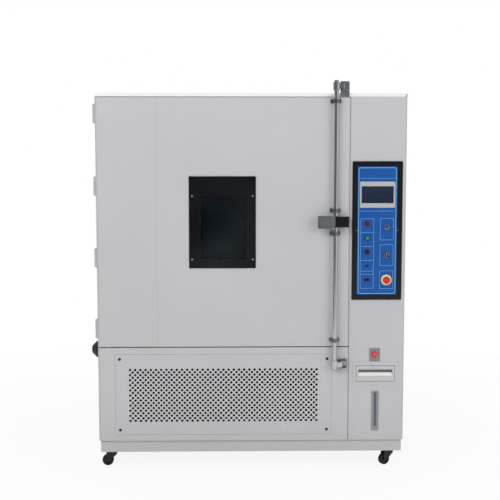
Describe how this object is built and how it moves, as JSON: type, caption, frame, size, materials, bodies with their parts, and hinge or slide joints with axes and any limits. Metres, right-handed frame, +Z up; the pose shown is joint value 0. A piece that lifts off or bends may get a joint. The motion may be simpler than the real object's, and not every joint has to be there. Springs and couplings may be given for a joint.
{
  "type": "environmental test chamber",
  "caption": "Floor-standing climatic test chamber with a windowed insulated door, lock rod, control column, water drawer, grille and casters.",
  "frame": {"origin": "on the floor, under the middle of the overall bounding box", "axes": "+X to the right seen from the front, +Y from the door to the back, +Z up"},
  "size_m": [1.773, 1.541, 2.175],
  "materials": {
    "cabinet_paint": "satin",
    "base_paint": "satin",
    "stainless": "satin",
    "zinc": "satin",
    "chrome": "polished",
    "foam": "matte",
    "gasket_silicone": "matte",
    "black_rubber": "matte",
    "black_glass": "gloss",
    "black_plastic": "satin",
    "clear_glass": "polished",
    "fascia_blue": "satin",
    "bezel_grey": "satin",
    "red_plastic": "gloss",
    "green_plastic": "gloss",
    "dark_red_plastic": "gloss",
    "machine_black": "satin",
    "fin_aluminium": "satin",
    "caster_black": "matte",
    "lamp_glass": "polished",
    "tank_plastic": "satin"
  },
  "bodies": {
    "cabinet": {"chassis_frame": "base_paint", "side_panel_left": "cabinet_paint", "side_panel_right": "cabinet_paint", "rear_panel": "cabinet_paint", "top_cover": "cabinet_paint", "front_frame": "stainless", "inner_liner": "stainless", "insulation": "foam", "air_duct_panel": "stainless", "shelves": "stainless", "interior_lamp": "lamp_glass", "fan_motor": "machine_black", "evaporator": "fin_aluminium", "heater": "stainless", "humidifier": "stainless", "water_tank": "tank_plastic", "compressors": "machine_black", "condenser": "fin_aluminium", "control_gear": "zinc", "cabinet_hinge_leaves": "cabinet_paint", "lock_keepers": "zinc", "lower_front_panel": "cabinet_paint", "grille_panel": "cabinet_paint", "column_panel": "cabinet_paint", "level_gauge": "bezel_grey", "panel_frame": "black_plastic", "control_fascia": "fascia_blue", "touchscreen": "bezel_grey", "fascia_fittings": "bezel_grey", "overtemp_plate": "bezel_grey", "caster_plates": "zinc"},
    "door": {"door_skin": "cabinet_paint", "door_core": "foam", "door_inner_panel": "stainless", "door_gasket": "gasket_silicone", "window_plate": "black_glass", "window_glass": "clear_glass", "door_hinge_leaves": "cabinet_paint", "rod_guides": "zinc", "lock_case": "black_plastic"},
    "lock_lever": {"lock_lever": "chrome"},
    "lock_rod": {"lock_rod": "chrome"},
    "water_drawer": {"water_drawer": "cabinet_paint"},
    "estop_head": {"estop_head": "red_plastic"},
    "green_button": {"green_button": "green_plastic"},
    "red_button": {"red_button": "dark_red_plastic"},
    "key_switch": {"key_switch": "chrome"},
    "rotary_switch": {"rotary_switch": "black_plastic"},
    "overtemp_dial": {"overtemp_dial": "red_plastic"},
    "service_port_plug": {"service_port_plug": "black_rubber"},
    "circulation_fan": {"circulation_fan": "zinc"},
    "condenser_fan": {"condenser_fan": "zinc"},
    "caster_fork_front_left": {"caster_fork_front_left": "machine_black"},
    "caster_wheel_front_left": {"caster_wheel_front_left": "caster_black"},
    "caster_fork_front_right": {"caster_fork_front_right": "machine_black"},
    "caster_wheel_front_right": {"caster_wheel_front_right": "caster_black"},
    "caster_fork_rear_left": {"caster_fork_rear_left": "machine_black"},
    "caster_wheel_rear_left": {"caster_wheel_rear_left": "caster_black"},
    "caster_fork_rear_right": {"caster_fork_rear_right": "machine_black"},
    "caster_wheel_rear_right": {"caster_wheel_rear_right": "caster_black"}
  },
  "joints": [
    {"name": "door_swing", "type": "hinge", "parent": "cabinet", "child": "door", "pos_m": [-0.849, -0.591, 0.7], "axis": [0, 0, -1], "range_deg": [0, 110]},
    {"name": "lever_swing", "type": "hinge", "parent": "door", "child": "lock_lever", "pos_m": [0.479, -0.763, 1.402], "axis": [0, 0, 1], "range_deg": [0, 80]},
    {"name": "lock_rod_turn", "type": "hinge", "parent": "door", "child": "lock_rod", "pos_m": [0.489, -0.735, 1.402], "axis": [0, 0, 1], "range_deg": [-80, 0]},
    {"name": "water_drawer_slide", "type": "slide", "parent": "cabinet", "child": "water_drawer", "axis": [0, -1, 0], "range_m": [0, 0.22]},
    {"name": "estop_push", "type": "slide", "parent": "cabinet", "child": "estop_head", "axis": [0, 1, 0], "range_m": [0, 0.005]},
    {"name": "green_button_push", "type": "slide", "parent": "cabinet", "child": "green_button", "axis": [0, 1, 0], "range_m": [0, 0.003], "stiffness_N_per_m": 500, "springref_m": -0.002},
    {"name": "red_button_push", "type": "slide", "parent": "cabinet", "child": "red_button", "axis": [0, 1, 0], "range_m": [0, 0.003], "stiffness_N_per_m": 500, "springref_m": -0.002},
    {"name": "key_turn", "type": "hinge", "parent": "cabinet", "child": "key_switch", "pos_m": [0.777, -0.71, 1.37], "axis": [0, 1, 0], "range_deg": [0, 90]},
    {"name": "rotary_switch_turn", "type": "hinge", "parent": "cabinet", "child": "rotary_switch", "pos_m": [0.777, -0.71, 1.216], "axis": [0, 1, 0], "range_deg": [0, 90]},
    {"name": "overtemp_dial_turn", "type": "hinge", "parent": "cabinet", "child": "overtemp_dial", "pos_m": [0.718, -0.705, 0.651], "axis": [0, 1, 0], "range_deg": [0, 270]},
    {"name": "service_plug_pull", "type": "slide", "parent": "cabinet", "child": "service_port_plug", "axis": [-1, 0, 0], "range_m": [0, 0.06]},
    {"name": "circulation_fan_spin", "type": "hinge", "parent": "cabinet", "child": "circulation_fan", "pos_m": [-0.132, 0.313, 1.697], "axis": [0, 1, 0], "continuous": true},
    {"name": "condenser_fan_spin", "type": "hinge", "parent": "cabinet", "child": "condenser_fan", "pos_m": [-0.395, -0.555, 0.355], "axis": [0, 1, 0], "continuous": true},
    {"name": "caster_swivel_front_left", "type": "hinge", "parent": "cabinet", "child": "caster_fork_front_left", "pos_m": [-0.764, -0.625, 0.096], "axis": [0, 0, 1], "continuous": true},
    {"name": "caster_roll_front_left", "type": "hinge", "parent": "caster_fork_front_left", "child": "caster_wheel_front_left", "pos_m": [-0.794, -0.625, 0.032], "axis": [0, -1, 0], "continuous": true},
    {"name": "caster_swivel_front_right", "type": "hinge", "parent": "cabinet", "child": "caster_fork_front_right", "pos_m": [0.814, -0.625, 0.096], "axis": [0, 0, 1], "continuous": true},
    {"name": "caster_roll_front_right", "type": "hinge", "parent": "caster_fork_front_right", "child": "caster_wheel_front_right", "pos_m": [0.78681, -0.63768, 0.032], "axis": [0.4226, -0.9063, 0], "continuous": true},
    {"name": "caster_swivel_rear_left", "type": "hinge", "parent": "cabinet", "child": "caster_fork_rear_left", "pos_m": [-0.764, 0.665, 0.096], "axis": [0, 0, 1], "continuous": true},
    {"name": "caster_roll_rear_left", "type": "hinge", "parent": "caster_fork_rear_left", "child": "caster_wheel_rear_left", "pos_m": [-0.764, 0.695, 0.032], "axis": [-1, 0, 0], "continuous": true},
    {"name": "caster_swivel_rear_right", "type": "hinge", "parent": "cabinet", "child": "caster_fork_rear_right", "pos_m": [0.814, 0.665, 0.096], "axis": [0, 0, 1], "continuous": true},
    {"name": "caster_roll_rear_right", "type": "hinge", "parent": "caster_fork_rear_right", "child": "caster_wheel_rear_right", "pos_m": [0.82176, 0.69398, 0.032], "axis": [-0.9659, 0.2588, 0], "continuous": true}
  ],
  "couplings": [
    {"joint": "lock_rod_turn", "follows": "lever_swing", "ratio": -1}
  ]
}
